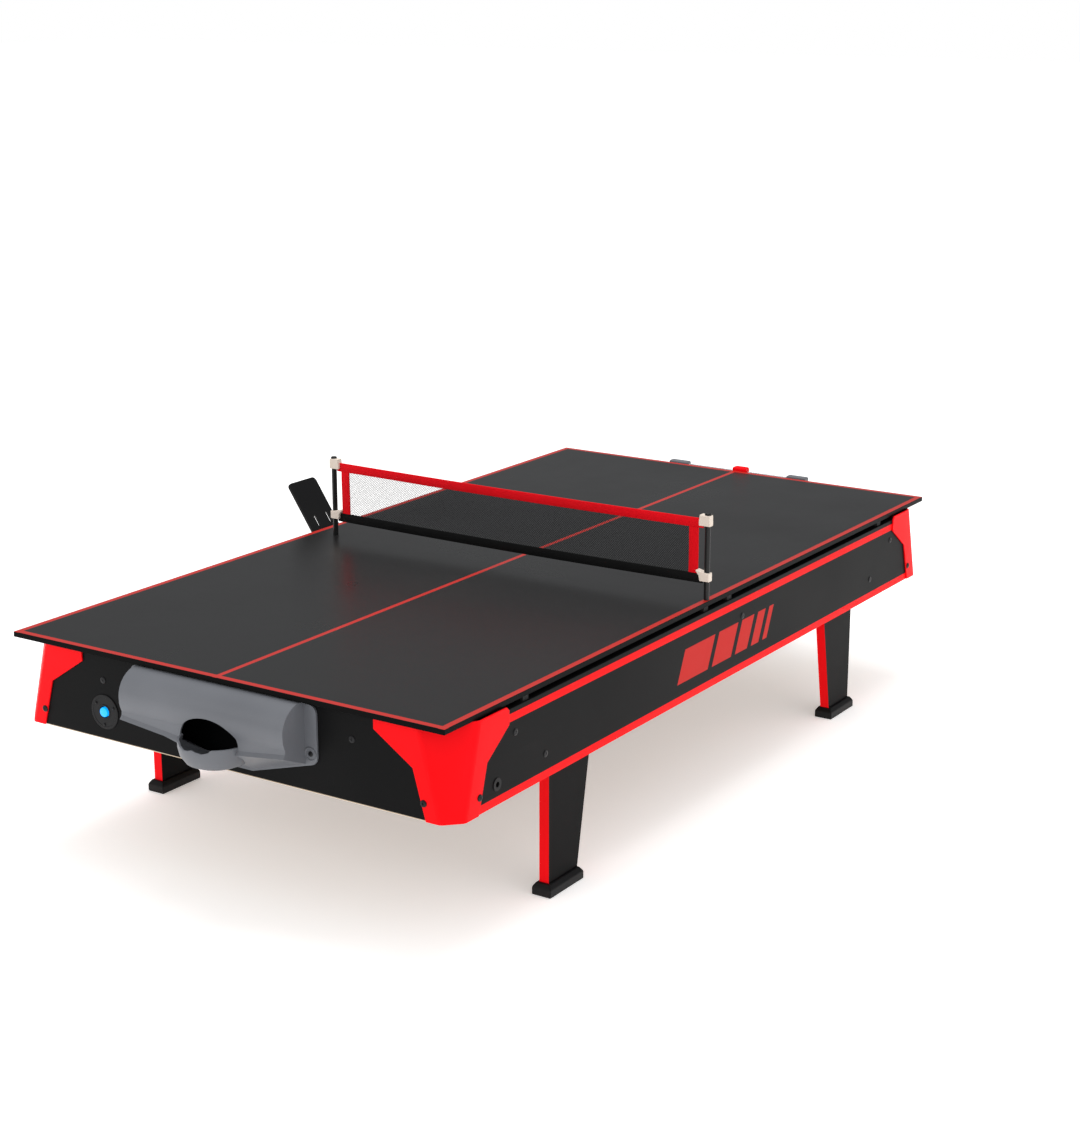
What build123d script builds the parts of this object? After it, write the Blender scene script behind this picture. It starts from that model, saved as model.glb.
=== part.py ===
from build123d import *
import os
from math import cos, radians, sin

# A low mini games table: an air hockey cabinet on four short legs, with a
# table tennis board and net laid on top.  All sizes are in millimetres.
# X runs along the table, from the end with the power button to the end with
# the score counter.  Z is up and the feet stand on Z = 0.

# ---------------------------------------------------------------- sizes
surface_height = 247.0
board_length = 1120.0
board_width = 577.0
board_thickness = 6.0

cabinet_length = 1102.0
cabinet_width = 586.0
cabinet_bottom = 143.0
wall_top = 236.5
cover_thickness = 2.0
wall_thickness = 12.0
corner_gap = 42.0

playfield_top = 205.0
playfield_thickness = 5.0
rail_width = 14.0
goal_slot_width = 200.0
goal_slot_height = 24.0

chamfer_bottom = 18.0
chamfer_top = 44.0
panel_gap_bottom = 22.0
panel_gap_top = 46.0

goal_body_width = 220.0
goal_flange_width = 250.0
goal_wall = 2.2
goal_top = 240.0
goal_floor = 188.0
goal_reach = 37.0
mouth_offset = 10.0
dish_centre = 22.0
dish_radius = 40.0
dish_bottom = 160.0
dish_rim = 187.0
flange_top = 237.0
flange_foot = 177.0
keel_half = 30.0
keel_bottom = 151.0
keel_wall = 3.0

leg_inset = 363.0
leg_width_top = 88.0
leg_width_bottom = 54.0
leg_top = 186.0
edge_band = 0.4
foot_margin = 6.0
foot_height = 14.0

net_x = -40.0
post_right_y = -284.0
post_left_y = 254.0
post_height = 100.0
post_radius = 3.3
net_top_z = 342.0
net_bottom_z = 266.0
band_height = 11.0

button_y = 167.5
button_z = 174.5
button_radius = 5.6
button_bore = 5.9
bezel_thickness = 1.2
button_standout = 3.2
inlet_x = -476.0
inlet_z = 165.0

fan_x = 60.0
fan_size = 92.0
fan_depth = 25.0
base_panel_top = 149.0
base_panel_thickness = 3.0

cover_screw_height = 1.6
panel_screw_height = 1.0
screw_head_radius = 3.7

score_x = 566.5
plate_pivot_y = 300.0
plate_pivot_z = 228.0
plate_centre_x = 5.0
plate_width = 54.0
plate_length = 83.0
plate_thickness = 3.0
plate_lean = 34.0

# ------------------------------------------------------- worked-out values
board_bottom = surface_height - board_thickness
half_length = cabinet_length / 2
half_width = cabinet_width / 2
end_face_x = half_length - cover_thickness
side_face_y = half_width - cover_thickness
inner_x = end_face_x - wall_thickness
inner_y = side_face_y - wall_thickness
# The tilting plate stands out on +Y, and the corner covers' screw heads on -Y,
# so the middle of the whole object's base lies to the +Y side of the table's
# own centre plane.
plate_reach = (plate_pivot_y + plate_length * sin(radians(plate_lean))
               + plate_thickness / 2 * cos(radians(plate_lean)))
centre_shift = (plate_reach - half_width - cover_screw_height) / 2

ENDS = {"near": -1, "far": 1}
SIDES = {"right": -1, "left": 1}


# ---------------------------------------------------------------- helpers
def block(x_range, y_range, z_range):
    """A box between two X, two Y and two Z values."""
    size = [high - low for low, high in (x_range, y_range, z_range)]
    middle = [(high + low) / 2 for low, high in (x_range, y_range, z_range)]
    return Pos(*middle) * Box(*size)


def span(a, b):
    """Two values as a rising pair."""
    return (min(a, b), max(a, b))


def rod(radius, start, end):
    """A round bar between two points on a line along X, Y or Z."""
    line = Vector(*end) - Vector(*start)
    plane = Plane(origin=start, z_dir=line)
    return extrude(plane * Circle(radius), line.length)


def plate_xz(points, y, depth):
    """A flat outline of (x, z) points, carried from y along +Y by depth."""
    face = make_face(Polyline(*[(px, y, pz) for px, pz in points], close=True))
    return extrude(face, depth, dir=(0, 1, 0))


def plate_yz(points, x, depth):
    """A flat outline of (y, z) points, carried from x along +X by depth."""
    face = make_face(Polyline(*[(x, py, pz) for py, pz in points], close=True))
    return extrude(face, depth, dir=(1, 0, 0))


def plate_xy(points, z, depth):
    """A flat outline of (x, y) points, carried up from z by depth."""
    face = make_face(Polyline(*[(px, py, z) for px, py in points], close=True))
    return extrude(face, depth, dir=(0, 0, 1))


def save(name, *shapes):
    """Write one named node, moved so that the object's base is centred."""
    moved = Pos(0, -centre_shift, 0)
    solids = [moved * solid for shape in shapes for solid in shape.solids()]
    node = solids[0] if len(solids) == 1 else Compound(solids)
    export_step(node, f"parts/{name}.step")


# ---------------------------------------------------------- board and pads
def top_board():
    """The table tennis board, with a small hole under each net post."""
    board = block((-board_length / 2, board_length / 2), (-board_width / 2, board_width / 2),
                  (board_bottom, surface_height))
    board = chamfer(board.edges(), 0.4)
    for y in (post_right_y, post_left_y):
        board -= rod(2.1, (net_x, y, board_bottom - 1), (net_x, y, surface_height + 1))
    return board


def rest_pads():
    """Felt pads glued under the board, which stand on the cabinet's walls."""
    pads = []
    for side in SIDES.values():
        for x in (-420, -48, 8, 420):
            y_range = span(side * (side_face_y - 3), side * (side_face_y - 10))
            pads.append(block((x - 5, x + 5), y_range, (wall_top, board_bottom)))
    return pads


# ------------------------------------------------------------------ cabinet
def wall_outline(half_span):
    """A wall's (distance along, z) outline, with ends that slope like the covers."""
    low, high = half_span - panel_gap_bottom, half_span - panel_gap_top
    return [(-low, cabinet_bottom), (low, cabinet_bottom), (high, wall_top), (-high, wall_top)]


def side_panel(side):
    """One long wall, with the bore of the power inlet in the right one."""
    panel = plate_xz(wall_outline(half_length), min(side * inner_y, side * side_face_y), wall_thickness)
    if side < 0:
        panel -= rod(6.0, (inlet_x, -side_face_y - 1, inlet_z), (inlet_x, -inner_y + 1, inlet_z))
    return panel


def end_panel(end):
    """One end wall, with its goal slot, and the switch hole in the near one."""
    panel = plate_yz(wall_outline(half_width), min(end * inner_x, end * end_face_x), wall_thickness)
    slot = block(span(end * (inner_x - 1), end * (end_face_x + 1)),
                 (-goal_slot_width / 2, goal_slot_width / 2),
                 (playfield_top, playfield_top + goal_slot_height))
    panel -= slot
    if end < 0:
        panel -= button_rod(9.0, -1, wall_thickness + 1)
    return panel


def corner_cover(end, side):
    """A moulded three-faced cover, deeper and wider at the top, 2 mm thick."""
    x0, y0 = end * half_length, side * half_width
    low, high = cabinet_bottom, board_bottom

    def facet_solid(offset):
        # the corner's volume, cut back by the sloping facet
        outer = []
        for z, cut in ((low, chamfer_bottom), (high, chamfer_top)):
            cut += offset * 2 ** 0.5
            near = offset
            outline = [(near, cut - near), (cut - near, near), (110, near), (110, 110), (near, 110)]
            outer.append(make_face(Polyline(
                *[(x0 - end * u, y0 - side * v, z) for u, v in outline], close=True)))
        return loft(outer, ruled=True)

    shell = facet_solid(0) - facet_solid(cover_thickness)
    side_wing = [(-1, low), (41, low), (56, low + 51), (95, low + 79), (95, high - 3),
                 (92, high), (-1, high)]
    end_wing = [(-1, low), (35, low), (50, low + 53), (97, low + 84), (97, high - 2),
                (95, high), (-1, high)]
    shell &= plate_xz([(x0 - end * u, z) for u, z in side_wing], -400, 800)
    shell &= plate_yz([(y0 - side * v, z) for v, z in end_wing], -700, 1400)
    return shell


def corner_cover_screws():
    """One pan-head screw in each wing of each corner cover."""
    screws = []
    for end in ENDS.values():
        for side in SIDES.values():
            x, y, z = end * (half_length - 42), side * half_width, 162.0
            screws.append(rod(screw_head_radius, (x, y, z), (x, y + side * cover_screw_height, z)))
            x, y, z = end * half_length, side * (half_width - 37), 162.0
            screws.append(rod(screw_head_radius, (x, y, z), (x + end * cover_screw_height, y, z)))
    return screws


def panel_screws():
    """Black screw heads in the walls, over the blocks and ribs inside."""
    screws = []
    for side in SIDES.values():
        y = side * side_face_y
        for x, z in ((-443, 210), (36, 210), (452, 210), (-388, 170), (392, 170)):
            screws.append(rod(screw_head_radius, (x, y, z), (x, y + side * panel_screw_height, z)))
    for end in ENDS.values():
        x = end * end_face_x
        for y in (-168, 168):
            screws.append(rod(screw_head_radius, (x, y, 210), (x + end * panel_screw_height, y, 210)))
    return screws


def corner_blocks():
    """Pine blocks glued inside the corners, below the playfield."""
    blocks = []
    u0, far = wall_thickness + cover_thickness, 66.0
    for end in ENDS.values():
        for side in SIDES.values():
            outline = [(u0, corner_gap), (u0, far), (u0 + 12, far), (far, u0 + 12), (far, u0),
                       (corner_gap, u0)]
            points = [(end * (half_length - u), side * (half_width - v)) for u, v in outline]
            blocks.append(plate_xy(points, base_panel_top, 45))
    return blocks


# ---------------------------------------------------- playfield and inside
def playfield():
    """The air hockey surface: a thin board with a grid of air holes."""
    x, y, cut = inner_x - 0.5, inner_y - 0.5, 30.0
    outline = [(-x + cut, -y), (x - cut, -y), (x, -y + cut), (x, y - cut), (x - cut, y),
               (-x + cut, y), (-x, y - cut), (-x, -y + cut)]
    field = plate_xy(outline, playfield_top - playfield_thickness, playfield_thickness)
    holes = [Pos(ix * 62.5, iy * 62.5, 0) * Cylinder(1.0, 30)
             for ix in range(-7, 8) for iy in range(-3, 4)]
    return field - Pos(0, 0, playfield_top) * Compound(children=holes)


def side_rail(side):
    """The bumper rail along one long side of the playfield."""
    x = half_length - corner_gap
    y_range = span(side * (inner_y - rail_width), side * (inner_y - 0.2))
    return block((-x, x), y_range, (playfield_top, wall_top))


def end_rails():
    """The bumper rails at the ends, one each side of each goal slot."""
    rails = []
    for end in ENDS.values():
        for side in SIDES.values():
            x_range = span(end * (inner_x - rail_width), end * (inner_x - 0.2))
            y_range = span(side * (goal_slot_width / 2 + 2), side * (half_width - corner_gap))
            rails.append(block(x_range, y_range, (playfield_top, wall_top)))
    return rails


def corner_bumpers():
    """The slanting bumpers that turn the rails round each corner."""
    bumpers = []
    u0 = wall_thickness + cover_thickness + 0.2
    u1 = u0 + rail_width - 0.2
    for end in ENDS.values():
        for side in SIDES.values():
            outline = [(u0, corner_gap), (u1, corner_gap), (corner_gap, u1), (corner_gap, u0)]
            inset = [(end * (half_length - u), side * (half_width - v)) for u, v in outline]
            bumpers.append(plate_xy(inset, playfield_top, wall_top - playfield_top))
    return bumpers


def playfield_cleats():
    """Wooden strips on the inside of the walls, which hold the playfield up."""
    cleats = []
    z_range = (playfield_top - playfield_thickness - 12, playfield_top - playfield_thickness)
    for side in SIDES.values():
        y_range = span(side * (inner_y - 12), side * inner_y)
        cleats.append(block((-470, 470), y_range, z_range))
    for end in ENDS.values():
        x_range = span(end * (inner_x - 12), end * inner_x)
        cleats.append(block(x_range, (-200, 200), z_range))
    return cleats


def cross_ribs():
    """Two ribs under the playfield, with holes that let the air through."""
    ribs = []
    for x in (-180, 180):
        rib = block((x - 6, x + 6), (-inner_y + 14, inner_y - 14),
                    (base_panel_top, playfield_top - playfield_thickness))
        for y in (-180, -60, 60, 180):
            rib -= rod(15, (x - 7, y, 174), (x + 7, y, 174))
        ribs.append(rib)
    return ribs


def leg_notch(end, side, clearance):
    """The space that one leg takes where it passes inside the cabinet."""
    x_range = span(end * (leg_inset + clearance), end * (leg_inset - leg_width_top - clearance))
    y_range = span(side * (inner_y + 1), side * (inner_y - wall_thickness - clearance))
    return block(x_range, y_range, (cabinet_bottom - 10, leg_top))


def base_panel():
    """The hardboard floor of the air box, notched round the legs and fan."""
    z_range = (base_panel_top - base_panel_thickness, base_panel_top)
    panel = block((-inner_x + 0.3, inner_x - 0.3), (-inner_y + 0.3, inner_y - 0.3), z_range)
    panel -= Pos(fan_x, 0, base_panel_top) * Cylinder(fan_size / 2 - 4, 20)
    for end in ENDS.values():
        for side in SIDES.values():
            panel -= leg_notch(end, side, 1.0)
            panel -= leg_block_solid(end, side, 0.5)
    return panel


# -------------------------------------------------------------------- fan
def blower_housing():
    """The square fan frame, with the motor plate on four struts."""
    z0 = base_panel_top
    frame = block((fan_x - fan_size / 2, fan_x + fan_size / 2), (-fan_size / 2, fan_size / 2),
                  (z0, z0 + fan_depth))
    frame = fillet(frame.edges().filter_by(Axis.Z), 5)
    frame -= Pos(fan_x, 0, z0) * Cylinder(fan_size / 2 - 4, 80)
    top = z0 + fan_depth
    struts = Pos(fan_x, 0, top - 1.5) * (Box(fan_size - 2, 5, 3) + Box(5, fan_size - 2, 3))
    motor_plate = Pos(fan_x, 0, top - 1.5) * Cylinder(18, 3)
    return frame + struts + motor_plate


def blower_impeller():
    """Seven twisted blades on a hub that runs on the motor's shaft."""
    z0 = base_panel_top + 2
    height = fan_depth - 7
    hub = Pos(fan_x, 0, z0 + height / 2) * Cylinder(17, height)
    for i in range(7):
        blade = Pos(26, 0, 0) * Rot(38, 0, 0) * Box(28, 1.6, 20)
        hub += Pos(fan_x, 0, z0 + height / 2) * Rot(0, 0, i * 360 / 7) * blade
    hub &= Pos(fan_x, 0, z0 + height / 2) * Cylinder(40, height)
    return hub - Pos(fan_x, 0, z0 + height) * Cylinder(1.55, 26)


def blower_shaft():
    """The steel motor shaft that the impeller turns on."""
    top = base_panel_top + fan_depth - 3
    return rod(1.5, (fan_x, 0, top - 14), (fan_x, 0, top))


def fan_guard():
    """The moulded finger guard under the fan."""
    z_range = (base_panel_top - base_panel_thickness - 2.5, base_panel_top - base_panel_thickness)
    guard = block((fan_x - 52, fan_x + 52), (-52, 52), z_range)
    guard = fillet(guard.edges().filter_by(Axis.Z), 8)
    middle = sum(z_range) / 2
    guard -= Pos(fan_x, 0, middle) * Cylinder(43, 10)
    for radius in (12, 22, 32):
        guard += Pos(fan_x, 0, middle) * (Cylinder(radius + 1.4, 2.5) - Cylinder(radius - 1.4, 5))
    for angle in (0, 60, 120):
        guard += Pos(fan_x, 0, middle) * Rot(0, 0, angle) * Box(90, 3, 2.5)
    return guard


# ------------------------------------------------------ switch and inlet
def button_rod(radius, start, end):
    """A round bar on the button's axis, between two depths into the wall."""
    return rod(radius, (-end_face_x + start, button_y, button_z), (-end_face_x + end, button_y, button_z))


def power_bezel():
    """The round black plate round the power button."""
    bezel = button_rod(19.5, -bezel_thickness, 0)
    bezel = chamfer(bezel.edges().group_by(Axis.X)[0], 0.5)
    return bezel - button_rod(button_bore, -9, 3)


def bezel_screws():
    """Three small screws that hold the bezel to the end wall."""
    screws = []
    for angle in (35, 155, 275):
        y = button_y + 14.5 * cos(radians(angle))
        z = button_z + 14.5 * sin(radians(angle))
        face = -end_face_x - bezel_thickness
        screws.append(rod(1.6, (face - 0.8, y, z), (face, y, z)))
    return screws


def switch_body():
    """The latching switch behind the bezel, with a bore for the button."""
    return button_rod(8.8, 0, 24) - button_rod(button_bore, -1, 9)


def power_button():
    """The lit cap that is pressed in to start the fan."""
    cap = button_rod(button_radius, -button_standout, 5)
    return fillet(cap.edges().group_by(Axis.X)[0], 1.5)


def power_inlet():
    """The round low-voltage socket in the right wall."""
    y = -side_face_y
    socket = rod(5.8, (inlet_x, y, inlet_z), (inlet_x, y + 20, inlet_z))
    socket += rod(6.8, (inlet_x, y - 0.8, inlet_z), (inlet_x, y, inlet_z))
    socket -= rod(3.0, (inlet_x, y - 3, inlet_z), (inlet_x, y + 12, inlet_z))
    return socket + rod(0.9, (inlet_x, y + 1.5, inlet_z), (inlet_x, y + 13, inlet_z))


# ------------------------------------------------------------ goal boxes
def goal_profile(inset):
    """The half-round section of a goal box, as (distance out, z) lines."""
    back = -5.0 if inset else 0.0
    top, front, low = goal_top - inset, goal_reach - inset, goal_floor + inset
    heel = low - 16 + inset * 0.3
    waist = (front - 4, low + 7)
    edges = [
        Line((back, top), (8, top)),
        ThreePointArc((8, top), (front - 6, top - 11), (front, top - 28)),
        ThreePointArc((front, top - 28), (front - 0.8, low + 15), waist),
        Line(waist, (front, low)),
        Line((front, low), (back, heel)),
        Line((back, heel), (back, top)),
    ]
    return make_face(edges)


def goal_prism(end, width, inset):
    """The goal box's section, carried along the end wall."""
    out_plane = Plane(origin=(end * end_face_x, 0, 0), x_dir=(end, 0, 0), z_dir=(0, -end, 0))
    return extrude(out_plane * goal_profile(inset), width / 2, both=True)


def round_tub(end, radius, z_low, z_high, corner, start):
    """A round tub standing out of the end wall, from start mm in front of it."""
    middle = Pos(end * (end_face_x + dish_centre), end * mouth_offset, (z_low + z_high) / 2)
    tub = middle * Cylinder(radius, z_high - z_low)
    tub = fillet(tub.edges().group_by(Axis.Z)[0], corner)
    room = block(span(end * (end_face_x + start), end * (end_face_x + 100)), (-80, 80), (150, 250))
    return tub & room


def goal_mouth(end):
    """The arched opening at the middle of a goal box's front."""
    width, height, start = 39.0, 22.0, 20.0
    middle = (end * (end_face_x + start), end * mouth_offset, dish_rim)
    face_plane = Plane(origin=middle, x_dir=(0, 1, 0), z_dir=(end, 0, 0))
    rise = end * height
    arch = [Line((-width, 0), (width, 0)), ThreePointArc((width, 0), (0, rise), (-width, 0))]
    return extrude(face_plane * make_face(arch), 60)


def goal_flange(end):
    """The flat flange behind a goal box, with a V-shaped foot."""
    half = goal_flange_width / 2
    keel_left = end * mouth_offset - keel_half
    keel_right = end * mouth_offset + keel_half
    outline = Polyline((-half, flange_top), (half, flange_top), (half, flange_foot),
                       (keel_right, keel_bottom), (keel_left, keel_bottom), (-half, flange_foot), close=True)
    plane = Plane(origin=(end * end_face_x, 0, 0), x_dir=(0, 1, 0), z_dir=(1, 0, 0))
    flange = extrude(plane * make_face(outline), end * 2.5)
    return fillet(flange.edges().filter_by(Axis.X), 6)


def goal_keel(end, inset):
    """The goal box's underside, which slopes back to the wall and falls towards the dish."""
    half = goal_body_width / 2 - inset
    front = goal_reach - inset
    back = -1.0 if inset else 0.0
    rise = keel_wall if inset else 0.0
    centre = end * mouth_offset
    sections = []
    for y, lip, heel in ((-half, goal_floor - 1, 174.0), (centre - keel_half, 181.0, keel_bottom + 1),
                         (centre + keel_half, 181.0, keel_bottom + 1), (half, goal_floor - 1, 174.0)):
        plane = Plane(origin=(end * end_face_x, y, 0), x_dir=(end, 0, 0), z_dir=(0, -end, 0))
        outline = Polyline((back, goal_floor + 8), (front - 4, goal_floor + 8), (front, lip + rise),
                           (back, heel + rise), close=True)
        sections.append(plane * make_face(outline))
    return loft(sections, ruled=True)


def goal_box(end):
    """A hollow catch box, with a mouth at the middle and a dish below it."""
    dish = round_tub(end, dish_radius, dish_bottom, dish_rim, 12, 0)
    scoop = round_tub(end, dish_radius - goal_wall, dish_bottom + goal_wall, dish_rim + 6, 10, 4)
    hollow = goal_prism(end, goal_body_width - 2 * goal_wall, goal_wall)
    hood = goal_prism(end, goal_body_width, 0) + goal_keel(end, 0)
    hollow += goal_keel(end, goal_wall)
    return hood + goal_flange(end) + dish - hollow - scoop - goal_mouth(end)


def goal_box_screws():
    """Two screws through the flange of each goal box."""
    screws = []
    for end in ENDS.values():
        x = end * (end_face_x + 2.5)
        for y in (-117, 117):
            screws.append(rod(2.8, (x, y, 185), (x + end * 1.2, y, 185)))
    return screws


# -------------------------------------------------------------------- legs
def leg_outline(inset):
    """A leg's (distance from the middle, z) outline, inset at its two edges."""
    sole = foot_height - 10
    return [(leg_inset - inset, sole), (leg_inset - inset, leg_top),
            (leg_inset - leg_width_top + inset, leg_top),
            (leg_inset - leg_width_bottom + inset, sole)]


def leg(end, side):
    """A flat leg board, upright on its outer edge and tapered on the other."""
    points = [(end * u, z) for u, z in leg_outline(edge_band)]
    return plate_xz(points, min(side * inner_y, side * (inner_y - wall_thickness)), wall_thickness)


def leg_edge_bands():
    """The red plastic strips on both narrow edges of every leg."""
    bands = []
    outer, inner = leg_outline(0), leg_outline(edge_band)
    for end in ENDS.values():
        for side in SIDES.values():
            y = min(side * inner_y, side * (inner_y - wall_thickness))
            for a, b in ((0, 1), (2, 3)):
                strip = [outer[a], outer[b], inner[b], inner[a]]
                bands.append(plate_xz([(end * u, z) for u, z in strip], y, wall_thickness))
    return bands


def foot(end, side):
    """A moulded shoe with sloping shoulders, which the leg stands in."""
    x_range = span(end * (leg_inset + foot_margin), end * (leg_inset - leg_width_bottom - foot_margin))
    y_range = span(side * (inner_y + foot_margin), side * (inner_y - wall_thickness - foot_margin))
    shoe = block(x_range, y_range, (0, foot_height))
    shoe = chamfer(shoe.edges().group_by(Axis.Z)[-1], 5, 3)
    shoe = fillet(shoe.edges().filter_by(Axis.Z), 1.5)
    pocket = [(end * u, z) for u, z in leg_outline(-0.05)]
    y = min(side * inner_y, side * (inner_y - wall_thickness)) - 0.05
    return shoe - plate_xz(pocket, y, wall_thickness + 0.1)


def leg_block_solid(end, side, clearance):
    """The space of the raw wood block that backs one leg."""
    x_range = span(end * (leg_inset - 38 + clearance), end * (leg_inset - 78 - clearance))
    back = inner_y - wall_thickness
    y_range = span(side * back, side * (back - 20 - clearance))
    return block(x_range, y_range, (cabinet_bottom - 5, leg_top))


def leg_blocks():
    """The raw wood blocks behind the four legs."""
    return [leg_block_solid(end, side, 0) for end in ENDS.values() for side in SIDES.values()]


def leg_bolts():
    """Two round-head bolts through each leg into the side wall."""
    bolts = []
    for end in ENDS.values():
        for side in SIDES.values():
            y = side * (inner_y - wall_thickness)
            for z in (160, 176):
                x = end * (leg_inset - 20)
                bolts.append(rod(5.0, (x, y, z), (x, y - side * 3, z)))
    return bolts


# --------------------------------------------------------------------- net
def net_post(y):
    """A round post with a pin below that drops into the board's hole."""
    post = rod(post_radius, (net_x, y, surface_height), (net_x, y, surface_height + post_height))
    return post + rod(2.03, (net_x, y, board_bottom + 0.5), (net_x, y, surface_height))


def post_caps():
    """The black cap on top of each post."""
    caps = []
    for y in (post_right_y, post_left_y):
        top = surface_height + post_height
        cap = rod(3.8, (net_x, y, top), (net_x, y, top + 2))
        caps.append(fillet(cap.edges().group_by(Axis.Z)[-1], 1.0))
    return caps


def net_clips(z_low, z_high, reach):
    """A pair of cream clips that join one band of the net to the posts."""
    clips = []
    for y, inward in ((post_right_y, 1), (post_left_y, -1)):
        y_range = span(y - inward * 4.6, y + inward * reach)
        clip = block((net_x - 4.4, net_x + 4.4), y_range, (z_low, z_high))
        clip = fillet(clip.edges().filter_by(Axis.Z), 1.5)
        clip -= rod(post_radius, (net_x, y, z_low - 1), (net_x, y, z_high + 1))
        pocket_y = span(y + inward * 5.5, y + inward * (reach + 1))
        clip -= block((net_x - 1.0, net_x + 1.0), pocket_y, (z_low - 1, z_high + 1))
        clips.append(clip)
    return clips


def net_band(z_low, z_high):
    """A folded tape along the top or the bottom of the net."""
    y_range = (post_right_y + 5.5, post_left_y - 5.5)
    return block((net_x - 1.0, net_x + 1.0), y_range, (z_low, z_high))


def net_side_bands():
    """The short upright tapes at the two ends of the net."""
    bands = []
    for y, inward in ((post_right_y, 1), (post_left_y, -1)):
        y_range = span(y + inward * 12, y + inward * 24)
        bands.append(block((net_x - 1.0, net_x + 1.0), y_range,
                           (net_bottom_z + band_height, net_top_z - band_height)))
    return bands


def net_mesh():
    """The knotted mesh between the tapes, as a thin sheet."""
    y_range = (post_right_y + 24, post_left_y - 24)
    return block((net_x - 0.4, net_x + 0.4), y_range,
                 (net_bottom_z + band_height, net_top_z - band_height))


# ----------------------------------------------------------- score counter
def score_end_blocks():
    """The two grey blocks that hold the score counter's rod."""
    blocks = []
    for side in SIDES.values():
        y_range = span(side * 80, side * 110)
        post = block((score_x - 5, score_x + 5), y_range, (goal_top, goal_top + 10))
        blocks.append(fillet(post.edges().group_by(Axis.Z)[-1], 2.5))
    return blocks


def score_rod():
    """The thin rod that the slider runs on."""
    return rod(1.5, (score_x, -80, goal_top + 5), (score_x, 80, goal_top + 5))


def score_slider():
    """The red slider, with the rod through its bore."""
    slider = block((score_x - 5.5, score_x + 5.5), (-15.5, 5.5), (goal_top + 0.6, goal_top + 12.5))
    slider = fillet(slider.edges().group_by(Axis.Z)[-1], 3)
    return slider - rod(1.56, (score_x, -90, goal_top + 5), (score_x, 90, goal_top + 5))


# ------------------------------------------------------ tilting side plate
def pivot_rod(radius, x_low, x_high):
    """A round bar on the plate's pivot axis."""
    return rod(radius, (x_low, plate_pivot_y, plate_pivot_z), (x_high, plate_pivot_y, plate_pivot_z))


def tilted(shape):
    """Turn an upright shape outwards about the plate's pivot."""
    pivot = Pos(0, plate_pivot_y, plate_pivot_z)
    return pivot * Rot(-plate_lean, 0, 0) * pivot.inverse() * shape


def side_plate():
    """The thin plate with two slots, on a knuckle that takes the pin."""
    x0, x1 = plate_centre_x - plate_width / 2, plate_centre_x + plate_width / 2
    y_range = (plate_pivot_y - plate_thickness / 2, plate_pivot_y + plate_thickness / 2)
    plate = block((x0, x1), y_range, (plate_pivot_z + 3, plate_pivot_z + plate_length))
    corners = plate.edges().filter_by(Axis.Y).group_by(Axis.Z)[-1]
    plate = fillet(corners, 6)
    for x in (plate_centre_x - 9, plate_centre_x + 15):
        slot = Pos(x, plate_pivot_y, plate_pivot_z + 26) * Box(4, 6, 16)
        plate -= fillet(slot.edges().filter_by(Axis.Y), 1.9)
    plate += pivot_rod(4.5, x0 + 6, x1 - 6)
    plate -= pivot_rod(2.06, x0 - 9, x1 + 9)
    return tilted(plate)


def plate_bracket():
    """The bracket on the left wall, with an ear at each end of the pin."""
    x0, x1 = plate_centre_x - plate_width / 2 - 4.3, plate_centre_x + plate_width / 2 + 4.3
    face = side_face_y
    bracket = block((x0, x1), (face, face + 2), (plate_pivot_z - 12, wall_top))
    for x in (x0, x1 - 4):
        ear = block((x, x + 4), (face, plate_pivot_y + 5), (plate_pivot_z - 6, plate_pivot_z + 5))
        bracket += fillet(ear.edges().filter_by(Axis.X).group_by(Axis.Y)[-1], 4)
    return bracket - pivot_rod(2.0, x0 - 1, x1 + 1)


def plate_pin():
    """The steel pin through the bracket's ears and the plate's knuckle."""
    x0, x1 = plate_centre_x - plate_width / 2 - 5.5, plate_centre_x + plate_width / 2 + 5.5
    return pivot_rod(2.0, x0, x1)


def plate_bracket_screws():
    """Two small screws that hold the bracket to the wall."""
    screws = []
    for x in (plate_centre_x - 20, plate_centre_x + 20):
        y, z = side_face_y + 2, plate_pivot_z - 8.5
        screws.append(rod(2.2, (x, y, z), (x, y + 1.2, z)))
    return screws


# ------------------------------------------------------------ write it all
os.makedirs("parts", exist_ok=True)

save("top_board", top_board())
save("rest_pads", *rest_pads())
for side_name, side_sign in SIDES.items():
    save(f"side_panel_{side_name}", side_panel(side_sign))
    save(f"side_rail_{side_name}", side_rail(side_sign))
for end_name, end_sign in ENDS.items():
    save(f"end_panel_{end_name}", end_panel(end_sign))
    save(f"goal_box_{end_name}", goal_box(end_sign))
    for side_name, side_sign in SIDES.items():
        save(f"corner_cover_{end_name}_{side_name}", corner_cover(end_sign, side_sign))
        save(f"leg_{end_name}_{side_name}", leg(end_sign, side_sign))
        save(f"foot_{end_name}_{side_name}", foot(end_sign, side_sign))
save("corner_cover_screws", *corner_cover_screws())
save("panel_screws", *panel_screws())
save("goal_box_screws", *goal_box_screws())
save("corner_blocks", *corner_blocks())
save("end_rails", *end_rails())
save("corner_bumpers", *corner_bumpers())
save("playfield", playfield())
save("playfield_cleats", *playfield_cleats())
save("cross_ribs", *cross_ribs())
save("base_panel", base_panel())
save("blower_housing", blower_housing())
save("blower_impeller", blower_impeller())
save("blower_shaft", blower_shaft())
save("fan_guard", fan_guard())
save("power_bezel", power_bezel())
save("bezel_screws", *bezel_screws())
save("switch_body", switch_body())
save("power_button", power_button())
save("power_inlet", power_inlet())
save("leg_edge_bands", *leg_edge_bands())
save("leg_blocks", *leg_blocks())
save("leg_bolts", *leg_bolts())
save("net_post_right", net_post(post_right_y))
save("net_post_left", net_post(post_left_y))
save("net_post_caps", *post_caps())
save("net_clips_upper", *net_clips(net_top_z - 8, surface_height + post_height, 10))
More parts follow.
